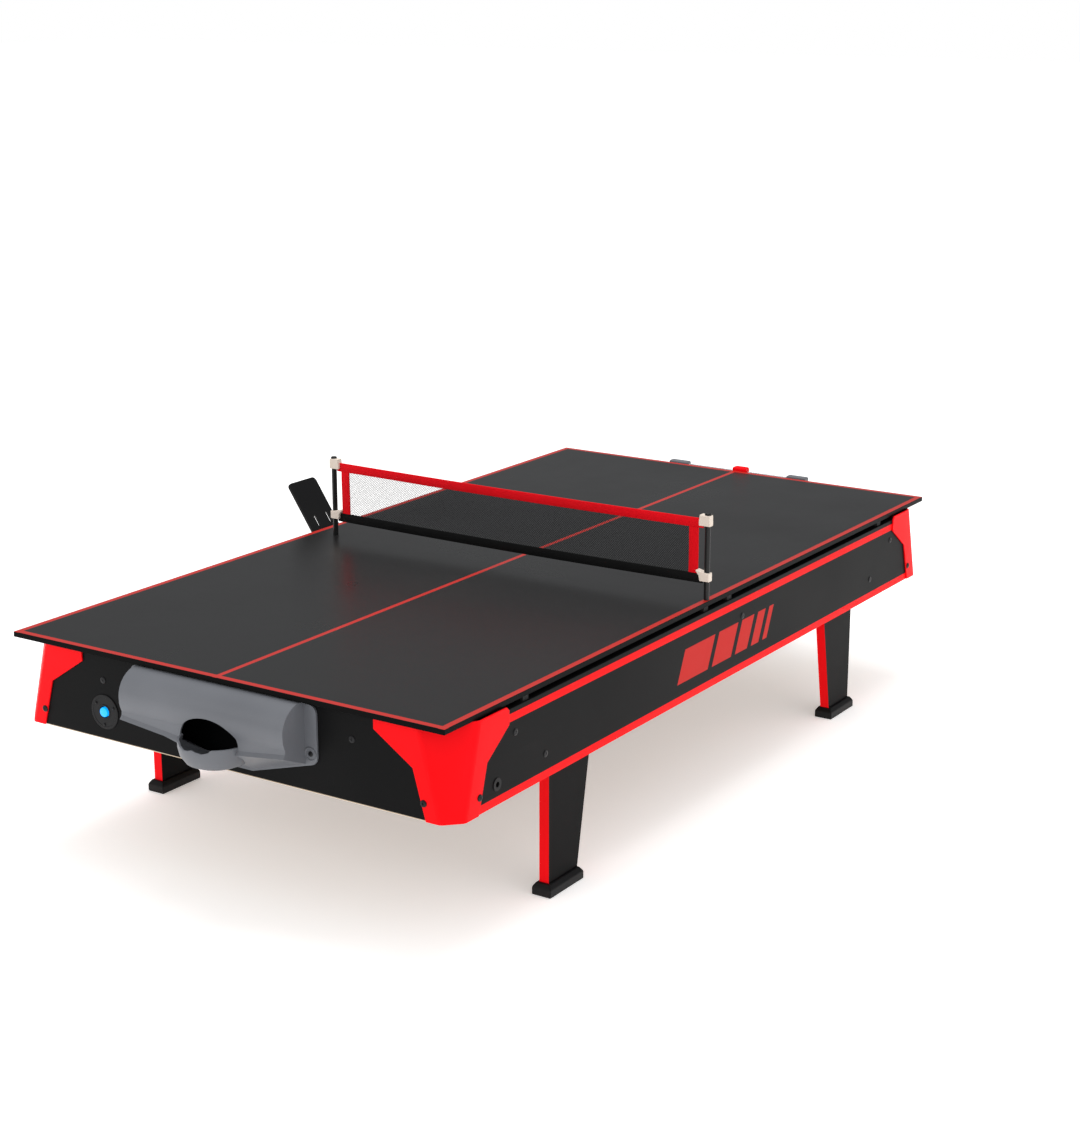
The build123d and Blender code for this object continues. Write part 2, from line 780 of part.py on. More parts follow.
save("net_clips_lower", *net_clips(net_bottom_z + 3, net_bottom_z + 16, 13))
save("net_top_band", net_band(net_top_z - band_height, net_top_z))
save("net_bottom_band", net_band(net_bottom_z, net_bottom_z + band_height))
save("net_side_bands", *net_side_bands())
save("net_mesh", net_mesh())
save("score_end_blocks", *score_end_blocks())
save("score_rod", score_rod())
save("score_slider", score_slider())
save("side_plate", side_plate())
save("plate_bracket", plate_bracket())
save("plate_pin", plate_pin())
save("plate_bracket_screws", *plate_bracket_screws())
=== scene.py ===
import math

import bmesh
import bpy
from mathutils import Matrix, Vector


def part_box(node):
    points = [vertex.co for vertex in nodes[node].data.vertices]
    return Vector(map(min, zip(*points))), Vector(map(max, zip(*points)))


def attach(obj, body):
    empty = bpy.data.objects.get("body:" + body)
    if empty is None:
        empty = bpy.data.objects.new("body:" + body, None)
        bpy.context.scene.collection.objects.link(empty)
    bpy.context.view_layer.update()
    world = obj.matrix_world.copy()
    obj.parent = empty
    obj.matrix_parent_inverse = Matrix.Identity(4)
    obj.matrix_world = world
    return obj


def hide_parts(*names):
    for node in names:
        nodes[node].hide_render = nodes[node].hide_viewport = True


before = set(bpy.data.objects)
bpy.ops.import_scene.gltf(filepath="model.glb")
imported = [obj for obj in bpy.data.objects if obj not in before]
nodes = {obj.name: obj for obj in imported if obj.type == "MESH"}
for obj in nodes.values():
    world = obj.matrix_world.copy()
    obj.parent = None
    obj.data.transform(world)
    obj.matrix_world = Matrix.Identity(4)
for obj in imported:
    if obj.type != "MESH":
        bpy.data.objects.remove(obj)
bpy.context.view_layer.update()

# The camera stands low off the near right corner and looks along the table.
# It comes first, so that every piece after it is made under a settled view.
camera_data = bpy.data.cameras.new("camera")
camera_data.sensor_width = 36.0
camera_data.lens = 68.27
camera = bpy.data.objects.new("camera", camera_data)
camera.location = (-2.1290, -1.4492, 0.9432)
camera.rotation_euler = (math.radians(74.43), 0.0, math.radians(-56.82))
bpy.context.scene.collection.objects.link(camera)
bpy.context.scene.camera = camera


# The studio: a pale floor under an even white sky, with a large soft light
# overhead, one beyond the near end and a weaker one on the right.
def soft_box(name, place, target, size, power):
    """A square studio light that faces a point on the table."""
    data = bpy.data.lights.new(name, "AREA")
    data.shape = "SQUARE"
    data.size = size
    data.energy = power
    light = bpy.data.objects.new(name, data)
    light.location = place
    light.rotation_euler = (Vector(target) - Vector(place)).to_track_quat("-Z", "Y").to_euler()
    bpy.context.scene.collection.objects.link(light)


table_middle = (0.0, 0.0, 0.2)
soft_box("overhead_light", (0.2, 0.1, 2.4), table_middle, 1.6, 30.0)
soft_box("near_end_light", (-2.6, 1.0, 1.4), table_middle, 1.2, 10.0)
soft_box("right_light", (-0.6, -2.6, 1.2), table_middle, 1.2, 3.0)

bpy.context.scene.view_settings.view_transform = "Standard"
world = bpy.data.worlds.new("studio_sky")
world.use_nodes = True
links = world.node_tree.links
working_sky = world.node_tree.nodes["Background"]
working_sky.inputs["Color"].default_value = (1.0, 1.0, 1.0, 1.0)
working_sky.inputs["Strength"].default_value = 0.84
plain_sky = world.node_tree.nodes.new("ShaderNodeBackground")
plain_sky.inputs["Color"].default_value = (1.0, 1.0, 1.0, 1.0)
gloss_sky = world.node_tree.nodes.new("ShaderNodeBackground")
gloss_sky.inputs["Color"].default_value = (0.96, 0.98, 1.0, 1.0)
gloss_sky.inputs["Strength"].default_value = 0.26
ray_kind = world.node_tree.nodes.new("ShaderNodeLightPath")
gloss_choice = world.node_tree.nodes.new("ShaderNodeMixShader")
links.new(ray_kind.outputs["Is Glossy Ray"], gloss_choice.inputs[0])
links.new(working_sky.outputs[0], gloss_choice.inputs[1])
links.new(gloss_sky.outputs[0], gloss_choice.inputs[2])
camera_choice = world.node_tree.nodes.new("ShaderNodeMixShader")
links.new(ray_kind.outputs["Is Camera Ray"], camera_choice.inputs[0])
links.new(gloss_choice.outputs[0], camera_choice.inputs[1])
links.new(plain_sky.outputs[0], camera_choice.inputs[2])
links.new(camera_choice.outputs[0], world.node_tree.nodes["World Output"].inputs[0])
bpy.context.scene.world = world

floor_reach = 20.0
floor_mesh = bpy.data.meshes.new("floor")
floor_corners = [(x * floor_reach, y * floor_reach, 0) for x, y in ((-1, -1), (1, -1), (1, 1), (-1, 1))]
floor_mesh.from_pydata(floor_corners, [], [(0, 1, 2, 3)])
floor = bpy.data.objects.new("floor", floor_mesh)
bpy.context.scene.collection.objects.link(floor)
floor_paint = bpy.data.materials.new("floor_paint")
floor_paint.use_nodes = True
floor_shader = floor_paint.node_tree.nodes["Principled BSDF"]
floor_shader.inputs["Base Color"].default_value = (0.96, 0.96, 0.96, 1.0)
floor_shader.inputs["Roughness"].default_value = 0.9
floor_shader.inputs["Specular IOR Level"].default_value = 0.0
floor_shader.inputs["Emission Color"].default_value = (1.0, 0.98, 0.96, 1.0)
floor_shader.inputs["Emission Strength"].default_value = 0.34
floor_mesh.materials.append(floor_paint)


# The four walls: fibreboard faced with satin black laminate. Red stripes are
# printed along the long ones, and the cut lower edge of the ends is raw board.
class NodeBench:
    """Short calls for laying out and joining the nodes of one material."""

    def __init__(self, tree):
        self.tree = tree

    def put(self, kind, **settings):
        node = self.tree.nodes.new("ShaderNode" + kind)
        for name, value in settings.items():
            setattr(node, name, value)
        return node

    def feed(self, socket, value):
        if isinstance(value, bpy.types.NodeSocket):
            self.tree.links.new(value, socket)
        else:
            socket.default_value = value

    def sum(self, operation, *values):
        node = self.put("Math", operation=operation)
        for socket, value in zip(node.inputs, values):
            self.feed(socket, value)
        return node.outputs[0]

    def mix(self, share, first, second):
        node = self.put("Mix", data_type="RGBA")
        self.feed(node.inputs["Factor"], share)
        self.feed(node.inputs["A"], first)
        self.feed(node.inputs["B"], second)
        return node.outputs["Result"]

    def place(self):
        """Where a point lies on the table: the vector, and X, Y and Z."""
        spot = self.put("TexCoord").outputs["Object"]
        parts = self.put("SeparateXYZ")
        self.feed(parts.inputs[0], spot)
        return spot, parts.outputs

    def ramp(self, value, low, high, start=0.0, end=1.0):
        node = self.put("MapRange", clamp=True)
        for socket, setting in zip(node.inputs, (value, low, high, start, end)):
            self.feed(socket, setting)
        return node.outputs[0]

    def band(self, value, low, high, soft=0.00015):
        """1 between two values and 0 outside them, with crisp printed edges."""
        rise = self.ramp(value, low - soft, low + soft)
        fall = self.ramp(value, high - soft, high + soft)
        return self.sum("SUBTRACT", rise, fall)

    def noise(self, spot, scale, detail):
        node = self.put("TexNoise")
        self.feed(node.inputs["Vector"], spot)
        self.feed(node.inputs["Scale"], scale)
        node.inputs["Detail"].default_value = detail
        return node.outputs["Fac"]


def node_group(name, inputs, outputs):
    """An empty group with named inputs and outputs, and its bench."""
    group = bpy.data.node_groups.new(name, "ShaderNodeTree")
    for socket_name, value in inputs:
        socket = group.interface.new_socket(name=socket_name, in_out="INPUT", socket_type="NodeSocketFloat")
        socket.default_value = value
    for socket_name in outputs:
        group.interface.new_socket(name=socket_name, in_out="OUTPUT", socket_type="NodeSocketFloat")
    bench = NodeBench(group)
    return group, bench, group.nodes.new("NodeGroupInput").outputs, group.nodes.new("NodeGroupOutput").inputs


grain_group, bench, given, result = node_group(
    "fine_grain", [("Grain Size", 1000.0), ("Blotch Size", 6.0)], ["Height", "Blotch"])
spot, _ = bench.place()
bench.feed(result["Height"], bench.noise(spot, given["Grain Size"], 2.0))
bench.feed(result["Blotch"], bench.noise(spot, given["Blotch Size"], 4.0))

scuff_group, bench, given, result = node_group("handling_scuffs", [("Amount", 0.3)], ["Mask"])
spot, _ = bench.place()
hairs = None
for turn, stretch in ((0.35, (9.0, 900.0, 40.0)), (-0.9, (900.0, 12.0, 40.0))):
    mapping = bench.put("Mapping")
    mapping.inputs["Rotation"].default_value = (0.0, 0.0, turn)
    mapping.inputs["Scale"].default_value = stretch
    bench.feed(mapping.inputs[0], spot)
    hair = bench.ramp(bench.noise(mapping.outputs[0], 1.0, 1.0), 0.70, 0.78)
    hairs = hair if hairs is None else bench.sum("MAXIMUM", hairs, hair)
patches = bench.ramp(bench.noise(spot, 14.0, 3.0), 0.52, 0.66)
bench.feed(result["Mask"], bench.sum("MULTIPLY", bench.sum("MULTIPLY", hairs, patches), given["Amount"]))


def surface(name, light, dark, rough, spread, grain, relief, scuffs=0.0, **shader_values):
    """A material whose tone and gloss drift, with a fine grain and faint scuffs."""
    material = bpy.data.materials.new(name)
    material.use_nodes = True
    bench = NodeBench(material.node_tree)
    bench.shader = material.node_tree.nodes["Principled BSDF"]
    for socket_name, value in shader_values.items():
        bench.shader.inputs[socket_name.replace("_", " ")].default_value = value
    texture = bench.put("Group", node_tree=grain_group)
    texture.inputs["Grain Size"].default_value = grain
    bench.tone = bench.mix(bench.ramp(texture.outputs["Blotch"], 0.35, 0.65), dark + (1,), light + (1,))
    gloss = bench.ramp(texture.outputs["Blotch"], 0.3, 0.7, rough - spread, rough + spread)
    if scuffs:
        marks = bench.put("Group", node_tree=scuff_group)
        marks.inputs["Amount"].default_value = scuffs
        gloss = bench.sum("ADD", gloss, bench.sum("MULTIPLY", marks.outputs["Mask"], 0.3))
        paler = tuple(min(1.0, c * 1.5 + 0.015) for c in light) + (1,)
        bench.tone = bench.mix(marks.outputs["Mask"], bench.tone, paler)
    bench.feed(bench.shader.inputs["Roughness"], gloss)
    bump = bench.put("Bump")
    bump.inputs["Strength"].default_value = relief
    bump.inputs["Distance"].default_value = 0.0002
    bench.feed(bump.inputs["Height"], texture.outputs["Height"])
    bench.feed(bench.shader.inputs["Normal"], bump.outputs[0])
    bench.feed(bench.shader.inputs["Base Color"], bench.tone)
    return material, bench


def paint(material, *names):
    """Gives carried-over parts their material."""
    for name in names:
        nodes[name].data.materials.clear()
        nodes[name].data.materials.append(material)


laminate_black = ((0.0066, 0.0066, 0.0068), (0.0048, 0.0048, 0.0050))
stripe_red = (0.93, 0.004, 0.006, 1.0)
upper_stripe = (0.2230, 0.2315)
lower_stripe = (0.1430, 0.1520)
raw_edge = 0.0009
wall_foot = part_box("side_panel_right")[0].z

striped_wall, bench = surface("striped_laminate", *laminate_black, 0.40, 0.05, 1500.0, 0.10, 0.35,
                              Specular_IOR_Level=0.05)
_, axes = bench.place()
stripes = bench.sum("MAXIMUM", bench.band(axes[2], *upper_stripe), bench.band(axes[2], *lower_stripe))
colour = bench.mix(stripes, bench.tone, stripe_red)
# a row of slanted bars, narrower one by one, at the middle of the wall
rise = bench.sum("SUBTRACT", axes[2], 0.1855)
across = bench.sum("SUBTRACT", axes[0], bench.sum("MULTIPLY", rise, 0.45))
bars, bar_start = None, -0.108
for bar_width in (0.070, 0.046, 0.030, 0.019, 0.011):
    bar = bench.band(across, bar_start, bar_start + bar_width)
    bars = bar if bars is None else bench.sum("MAXIMUM", bars, bar)
    bar_start += bar_width + 0.010
bars = bench.sum("MULTIPLY", bars, bench.band(rise, -0.019, 0.019))
bench.feed(bench.shader.inputs["Base Color"], bench.mix(bars, colour, (0.55, 0.020, 0.016, 1.0)))
paint(striped_wall, "side_panel_right", "side_panel_left")

plain_wall, bench = surface("plain_laminate", *laminate_black, 0.40, 0.05, 1500.0, 0.10, 0.35,
                            Specular_IOR_Level=0.05)
_, axes = bench.place()
raw = bench.band(axes[2], 0.0, wall_foot + raw_edge)
bench.feed(bench.shader.inputs["Base Color"], bench.mix(raw, bench.tone, (0.62, 0.50, 0.37, 1.0)))
paint(plain_wall, "end_panel_near", "end_panel_far")


# Corner covers: red plastic mouldings 2 mm thick, with softly rounded folds.
# Each wraps a corner of the cabinet, and is screwed to both walls.
cover_wall = 0.002
facet_low, facet_high = 0.018, 0.044
fold_radius = 0.003
cover_tall = 0.098
end_wing = [(0.035, 0.0), (0.050, 0.053), (0.097, 0.084), (0.097, 0.095), (0.094, 0.098)]
side_wing = [(0.041, 0.0), (0.056, 0.051), (0.095, 0.079), (0.095, 0.094), (0.091, 0.098)]


def piece_from(name, bm, material, body, *replaced, crease=0.6):
    """Turns built geometry into a named piece that rides on a body."""
    mesh = bpy.data.meshes.new(name)
    bm.to_mesh(mesh)
    bm.free()
    mesh.polygons.foreach_set("use_smooth", [True] * len(mesh.polygons))
    mesh.set_sharp_from_angle(angle=crease)
    mesh.materials.append(material)
    piece = bpy.data.objects.new(name, mesh)
    bpy.context.scene.collection.objects.link(piece)
    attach(piece, body)
    if replaced:
        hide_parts(*replaced)
    return piece


def round_edges(piece, width, segments=3, angle=0.6):
    """Softens every edge sharper than angle."""
    bevel = piece.modifiers.new("rounded_edges", "BEVEL")
    bevel.width = width
    bevel.segments = segments
    bevel.limit_method = "ANGLE"
    bevel.angle_limit = angle
    bevel.harden_normals = True


red_moulding, _ = surface("red_moulding", (0.96, 0.004, 0.009), (0.88, 0.002, 0.005), 0.42, 0.04,
                          1600.0, 0.15, 0.2, Specular_IOR_Level=0.06)


def corner_cover(node, end, side):
    """One cover, from the corner where its two walls would meet."""
    low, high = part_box(node)
    corner_x = low.x if end < 0 else high.x
    corner_y = low.y if side < 0 else high.y

    def point(inward_x, inward_y, up):
        return (corner_x - end * inward_x, corner_y - side * inward_y, low.z + up)

    bm = bmesh.new()
    end_fold = [bm.verts.new(point(0, facet_low, 0)), bm.verts.new(point(0, facet_high, cover_tall))]
    side_fold = [bm.verts.new(point(facet_low, 0, 0)), bm.verts.new(point(facet_high, 0, cover_tall))]
    bm.faces.new([end_fold[0], end_fold[1], side_fold[1], side_fold[0]])
    end_rim = [bm.verts.new(point(0, across, up)) for across, up in end_wing]
    side_rim = [bm.verts.new(point(across, 0, up)) for across, up in side_wing]
    bm.faces.new([end_fold[1], end_fold[0]] + end_rim)
    bm.faces.new([side_fold[0], side_fold[1]] + side_rim[::-1])
    if end * side > 0:
        bmesh.ops.reverse_faces(bm, faces=bm.faces)
    folds = [edge for edge in bm.edges if len(edge.link_faces) == 2]
    bmesh.ops.bevel(bm, geom=folds, offset=fold_radius, segments=5, profile=0.5, affect="EDGES")
    piece = piece_from(node + "_moulding", bm, red_moulding, "cabinet", node)
    shell = piece.modifiers.new("wall", "SOLIDIFY")
    shell.thickness = cover_wall
    shell.offset = -1.0
    shell.use_even_offset = True
    round_edges(piece, 0.0005, 2, 0.9)


for end_name, end_sign in (("near", -1), ("far", 1)):
    for side_name, side_sign in (("right", -1), ("left", 1)):
        corner_cover(f"corner_cover_{end_name}_{side_name}", end_sign, side_sign)


# Bumper rails round the playfield: dark grey extruded plastic, glued inside
# the walls. The gloss white playfield lies between them.
rail_plastic, _ = surface("rail_plastic", (0.030, 0.030, 0.033), (0.023, 0.023, 0.025), 0.5, 0.06,
                          900.0, 0.2, Specular_IOR_Level=0.3)
paint(rail_plastic, "side_rail_right", "side_rail_left", "end_rails", "corner_bumpers")

field_line = 0.003
ring_radius = 0.080
playfield_foil, bench = surface("playfield_foil", (0.80, 0.81, 0.83), (0.74, 0.75, 0.78), 0.18, 0.04,
                                600.0, 0.03, 0.3)
table_y = (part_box("playfield")[0].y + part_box("playfield")[1].y) / 2
_, axes = bench.place()
from_side = bench.sum("SUBTRACT", axes[1], table_y)
middle = bench.band(axes[0], -field_line, field_line)
from_spot = bench.sum("SQRT", bench.sum("ADD", bench.sum("POWER", axes[0], 2.0),
                                        bench.sum("POWER", from_side, 2.0)))
ring = bench.band(from_spot, ring_radius - field_line, ring_radius + field_line)
lines = bench.sum("MAXIMUM", middle, ring)
bench.feed(bench.shader.inputs["Base Color"], bench.mix(lines, bench.tone, (0.75, 0.02, 0.02, 1.0)))
paint(playfield_foil, "playfield")


# Timber inside the cabinet: pine blocks, strips and ribs, glued and pinned,
# and the brown hardboard floor of the air box.
def timber(name, light, dark, stretch, rough):
    """Wood with long streaks and a slow change of tone."""
    material, bench = surface(name, light, dark, rough, 0.05, 700.0, 0.3)
    spot, _ = bench.place()
    mapping = bench.put("Mapping")
    mapping.inputs["Scale"].default_value = stretch
    bench.feed(mapping.inputs[0], spot)
    streaks = bench.ramp(bench.noise(mapping.outputs[0], 1.0, 5.0), 0.35, 0.75, 0.0, 0.8)
    bench.feed(bench.shader.inputs["Base Color"], bench.mix(streaks, bench.tone, dark + (1,)))
    return material


raw_pine = timber("raw_pine", (0.66, 0.52, 0.34), (0.42, 0.29, 0.16), (12.0, 260.0, 260.0), 0.7)
brown_board = timber("brown_hardboard", (0.24, 0.15, 0.08), (0.15, 0.09, 0.045), (160.0, 160.0, 160.0), 0.6)
paint(raw_pine, "corner_blocks", "playfield_cleats", "cross_ribs", "leg_blocks")
paint(brown_board, "base_panel")


# The fan and the electric parts: black moulded plastic. The button is a clear
# cap in a thin round plate, lit from behind by a blue lamp.
black_moulding, _ = surface("black_moulding", (0.0085, 0.0085, 0.0090), (0.0060, 0.0060, 0.0065), 0.45, 0.08,
                            1100.0, 0.35, 0.2, Specular_IOR_Level=0.18)
paint(black_moulding, "blower_housing", "blower_impeller", "fan_guard", "switch_body", "power_inlet")


def turned(bm, centre, axis, profile, sides=48):
    """Adds a turned shape: (radius, height) along axis, closed where radius is 0."""
    axis = Vector(axis).normalized()
    across = axis.orthogonal().normalized()
    other = axis.cross(across)
    rings = []
    for radius, height in profile:
        foot = Vector(centre) + axis * height
        if radius == 0:
            rings.append([bm.verts.new(foot)])
            continue
        turns = [2 * math.pi * i / sides for i in range(sides)]
        ways = [across * math.cos(a) + other * math.sin(a) for a in turns]
        rings.append([bm.verts.new(foot + way * radius) for way in ways])
    for lower, upper in zip(rings, rings[1:]):
        for i in range(sides):
            j = (i + 1) % sides
            corners = [lower[i % len(lower)], lower[j % len(lower)],
                       upper[j % len(upper)], upper[i % len(upper)]]
            bm.faces.new(list(dict.fromkeys(corners)))


bezel_low, bezel_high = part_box("power_bezel")
bezel_middle = (bezel_low + bezel_high) / 2
bezel_seat = (bezel_high.x, bezel_middle.y, bezel_middle.z)
bm = bmesh.new()
turned(bm, bezel_seat, (-1, 0, 0), [
    (0.0195, 0.0), (0.0195, 0.0007), (0.0190, 0.0011), (0.0166, 0.0012), (0.0163, 0.0009), (0.0085, 0.0009),
    (0.0081, 0.0014), (0.0068, 0.0014), (0.0063, 0.0006), (0.0060, 0.0)])
bezel = piece_from("power_bezel_disc", bm, black_moulding, "cabinet", "power_bezel")

lit_cap, bench = surface("lit_blue_cap", (0.0, 0.30, 0.95), (0.0, 0.25, 0.88), 0.3, 0.04, 900.0, 0.05)
bench.shader.inputs["Emission Color"].default_value = (0.0, 0.40, 1.0, 1.0)
bench.shader.inputs["Emission Strength"].default_value = 0.85
cap_low, cap_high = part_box("power_button")
cap_seat = (cap_high.x, (cap_low.y + cap_high.y) / 2, (cap_low.z + cap_high.z) / 2)
cap_long = cap_high.x - cap_low.x
bm = bmesh.new()
turned(bm, cap_seat, (-1, 0, 0), [
    (0.0, 0.0), (0.0054, 0.0), (0.0054, cap_long - 0.0011), (0.0050, cap_long - 0.0004),
    (0.0038, cap_long - 0.0001), (0.0, cap_long)])
button = piece_from("power_button_cap", bm, lit_cap, "button", "power_button")


# Catch boxes: blue-grey satin plastic. A hollow half-round hood with a V keel
# stands on a rounded flange, and a dish under its arched mouth takes the puck.
grey_moulding, _ = surface("grey_moulding", (0.158, 0.165, 0.182), (0.134, 0.140, 0.155), 0.42, 0.05,
                           1300.0, 0.25, 0.25, Specular_IOR_Level=0.25)
hood_half, flange_half = 0.110, 0.125
hood_top, hood_reach = 0.240, 0.037
hood_lip, hood_heel = 0.188, 0.172
flange_thick = 0.0025
plastic_wall = 0.0022
keel_half = 0.03
keel_drop_front, keel_drop_back = 0.009, 0.020
mouth_shift = 0.010
mouth_foot = 0.187
mouth_half, mouth_high = 0.039, 0.024
dish_radius, dish_centre = 0.040, 0.022
dish_floor, scoop_floor = 0.160, 0.1622
flange_screws, flange_screw_z = (-0.117, 0.117), 0.185


def hood_section(inset, share):
    """(out, up) points of the hood; share is 0 at the keel and 1 at the ends."""
    top, front = hood_top - inset, hood_reach - inset
    back = -0.006 if inset else 0.0
    lip = hood_lip + inset - keel_drop_front * (1 - share)
    heel = hood_heel + inset * 1.3 - keel_drop_back * (1 - share)
    points = [(back, top), (0.008, top)]
    for step in range(1, 9):
        turn = math.radians(90 - 90 * step / 8)
        points.append((0.008 + (front - 0.008) * math.cos(turn), top - 0.028 * (1 - math.sin(turn))))
    points += [(front - 0.0004, 0.205), (front - 0.0018, 0.200), (front - 0.0035, 0.196 - inset * 0.5),
               (front - 0.0030, lip + 0.004), (front, lip), (back, heel)]
    return points


def hood_solid(end, half, inset, body_y):
    """The hood's outer or inner volume, lofted along the wall."""
    wall_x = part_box("end_panel_near")[0].x if end < 0 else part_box("end_panel_far")[1].x
    bm = bmesh.new()
    middle = end * mouth_shift
    rings = []
    keel_start, keel_stop = middle - keel_half, middle + keel_half
    for y in (-half, (keel_start - half) / 2, keel_start, keel_stop, (keel_stop + half) / 2, half):
        limit = half if y > middle else -half
        share = max(0.0, (abs(y - middle) - keel_half) / (abs(limit - middle) - keel_half))
        section = hood_section(inset, share)
        rings.append([bm.verts.new((wall_x + end * out, body_y + y, up)) for out, up in section])
    count = len(rings[0])
    for one, two in zip(rings, rings[1:]):
        for i in range(count):
            j = (i + 1) % count
            bm.faces.new([one[i], one[j], two[j], two[i]])
    bm.faces.new(rings[0])
    bm.faces.new(rings[-1][::-1])
    bmesh.ops.recalc_face_normals(bm, faces=bm.faces)
    return bm, wall_x


def loose_object(name, bm):
    """A working solid that is joined to, or cut from, another."""
    mesh = bpy.data.meshes.new(name)
    bm.to_mesh(mesh)
    bm.free()
    thing = bpy.data.objects.new(name, mesh)
    bpy.context.scene.collection.objects.link(thing)
    return thing


def combine(base, other, operation):
    """Joins or cuts two working solids, and removes the second."""
    step = base.modifiers.new(operation.lower(), "BOOLEAN")
    step.operation = operation
    step.solver = "EXACT"
    step.object = other
    bpy.context.view_layer.update()
    evaluated = base.evaluated_get(bpy.context.evaluated_depsgraph_get())
    shape = bpy.data.meshes.new_from_object(evaluated)
    base.modifiers.clear()
    base.data = shape
    bpy.data.objects.remove(other)


def flat_solid(outline, to_point, near, far):
    """A solid made of an outline of two coordinates, carried between two depths."""
    bm = bmesh.new()
    front = [bm.verts.new(to_point(a, b, near)) for a, b in outline]
    back = [bm.verts.new(to_point(a, b, far)) for a, b in outline]
    bm.faces.new(front)
    bm.faces.new(back[::-1])
    for i in range(len(outline)):
        j = (i + 1) % len(outline)
        bm.faces.new([front[j], front[i], back[i], back[j]])
    bmesh.ops.recalc_face_normals(bm, faces=bm.faces)
    return bm


def arc(centre, radius, start, stop, steps):
    """Points on an arc, with angles in degrees."""
    turns = [math.radians(start + (stop - start) * i / steps) for i in range(steps + 1)]
    return [(centre[0] + radius * math.cos(t), centre[1] + radius * math.sin(t)) for t in turns]


def flange_outline(keel_middle):
    """The flange's (along, up) outline: rounded top corners and a V foot."""
    corner = 0.009
    top, shoulder, keel = 0.237, 0.181, 0.151
    outline = arc((flange_half - corner, top - corner), corner, 0, 90, 6)
    outline += arc((-flange_half + corner, top - corner), corner, 90, 180, 6)
    outline += arc((-flange_half + corner, shoulder + 0.001), corner, 180, 255, 5)
    outline += [(keel_middle - keel_half, keel), (keel_middle + keel_half, keel)]
    outline += arc((flange_half - corner, shoulder + 0.001), corner, 285, 360, 5)
    return outline


def turned_object(name, centre, axis, profile, sides):
    """A turned shape as a working solid."""
    bm = bmesh.new()
    turned(bm, centre, axis, profile, sides)
    bmesh.ops.recalc_face_normals(bm, faces=bm.faces)
    return loose_object(name, bm)


def catch_box(node, end):
    """One catch box, cut and joined from its plain volumes, then softened."""
    low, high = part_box(node)
    body_y = (low.y + high.y) / 2
    bm, wall_x = hood_solid(end, hood_half, 0.0, body_y)
    box = loose_object("hood", bm)
    middle_y = body_y + end * mouth_shift
    centre = (wall_x + end * dish_centre, middle_y)
    combine(box, turned_object("dish", (*centre, dish_floor), (0, 0, 1), [
        (0.0, 0.0), (0.024, 0.0), (0.0325, 0.0038), (0.0380, 0.0115),
        (dish_radius, 0.0200), (dish_radius, 0.0270), (0.0, 0.0270)], 64), "UNION")

    def upright(name, outline, near, far, along=body_y):
        """A solid whose outline lies in the wall's plane, between two distances out of it."""
        solid = flat_solid(outline, lambda a, b, d: (wall_x + end * d, along + a, b), near, far)
        return loose_object(name, solid)

    combine(box, upright("flange", flange_outline(end * mouth_shift), -0.002, flange_thick), "UNION")
    for screw_y in flange_screws:
        combine(box, turned_object("screw_ring", (wall_x, body_y + screw_y, flange_screw_z), (end, 0, 0), [
            (0.0, 0.0), (0.0072, 0.0), (0.0072, 0.0032), (0.0068, 0.0036), (0.0062, 0.0032),
            (0.0060, 0.0024), (0.0, 0.0024)], 32), "UNION")
    bm, _ = hood_solid(end, hood_half - plastic_wall, plastic_wall, body_y)
    combine(box, loose_object("hollow", bm), "DIFFERENCE")
    combine(box, turned_object("scoop", (*centre, scoop_floor), (0, 0, 1), [
        (0.0, 0.0), (0.0225, 0.0), (0.0305, 0.0038), (0.0358, 0.0110), (0.0378, 0.0190),
        (0.0378, 0.034), (0.0, 0.034)], 64), "DIFFERENCE")
    arch = [(mouth_half * a, mouth_foot + mouth_high * b) for a, b in arc((0.0, 0.0), 1.0, 0, 180, 20)]
    combine(box, upright("mouth", arch, 0.024, 0.080, middle_y), "DIFFERENCE")
    notch = [(-0.022, 0.188), (-0.019, 0.1845), (-0.012, 0.1825), (-0.005, 0.1835), (0.0, 0.1850),
             (0.005, 0.1835), (0.012, 0.1825), (0.019, 0.1845), (0.022, 0.188)]
    combine(box, upright("thumb_notch", notch, 0.045, 0.080, middle_y), "DIFFERENCE")
    wall_side = [(-0.2, 0.1), (0.2, 0.1), (0.2, 0.3), (-0.2, 0.3)]
    combine(box, upright("behind_the_wall", wall_side, -0.05, 0.0001), "DIFFERENCE")
    bm = bmesh.new()
    bm.from_mesh(box.data)
    bpy.data.objects.remove(box)
    bmesh.ops.remove_doubles(bm, verts=bm.verts, dist=0.00002)
    piece = piece_from(node + "_moulding", bm, grey_moulding, "cabinet", node, crease=0.45)
    round_edges(piece, 0.0008, 2, 0.7)


catch_box("goal_box_near", -1)
catch_box("goal_box_far", 1)


# Legs: tapered boards in black laminate, edged with red plastic strip. Each
# stands in a black moulded shoe with sloping shoulders.
leg_laminate, _ = surface("leg_laminate", *laminate_black, 0.42, 0.05, 1500.0, 0.1, 0.4,
                          Specular_IOR_Level=0.04)
red_strip, bench = surface("red_strip", (0.95, 0.003, 0.008), (0.88, 0.002, 0.005), 0.4, 0.05, 1200.0,
                           0.1, 0.2, Specular_IOR_Level=0.06)
# painted shade: the strip's faces that look across the table, flush with the leg's faces, are painted
# near-black, as if they lay in shade
way = bench.put("SeparateXYZ")
bench.feed(way.inputs[0], bench.put("TexCoord").outputs["Normal"])
painted_shade_sides = bench.sum("GREATER_THAN", bench.sum("ABSOLUTE", way.outputs[1]), 0.7)
# painted shade: near-black on the strip's sides that face across the table
bench.feed(bench.shader.inputs["Base Color"], bench.mix(painted_shade_sides, bench.tone, (0.008, 0.008, 0.008, 1.0)))
paint(red_strip, "leg_edge_bands")
shoulder_run, shoulder_drop = 0.0035, 0.0050


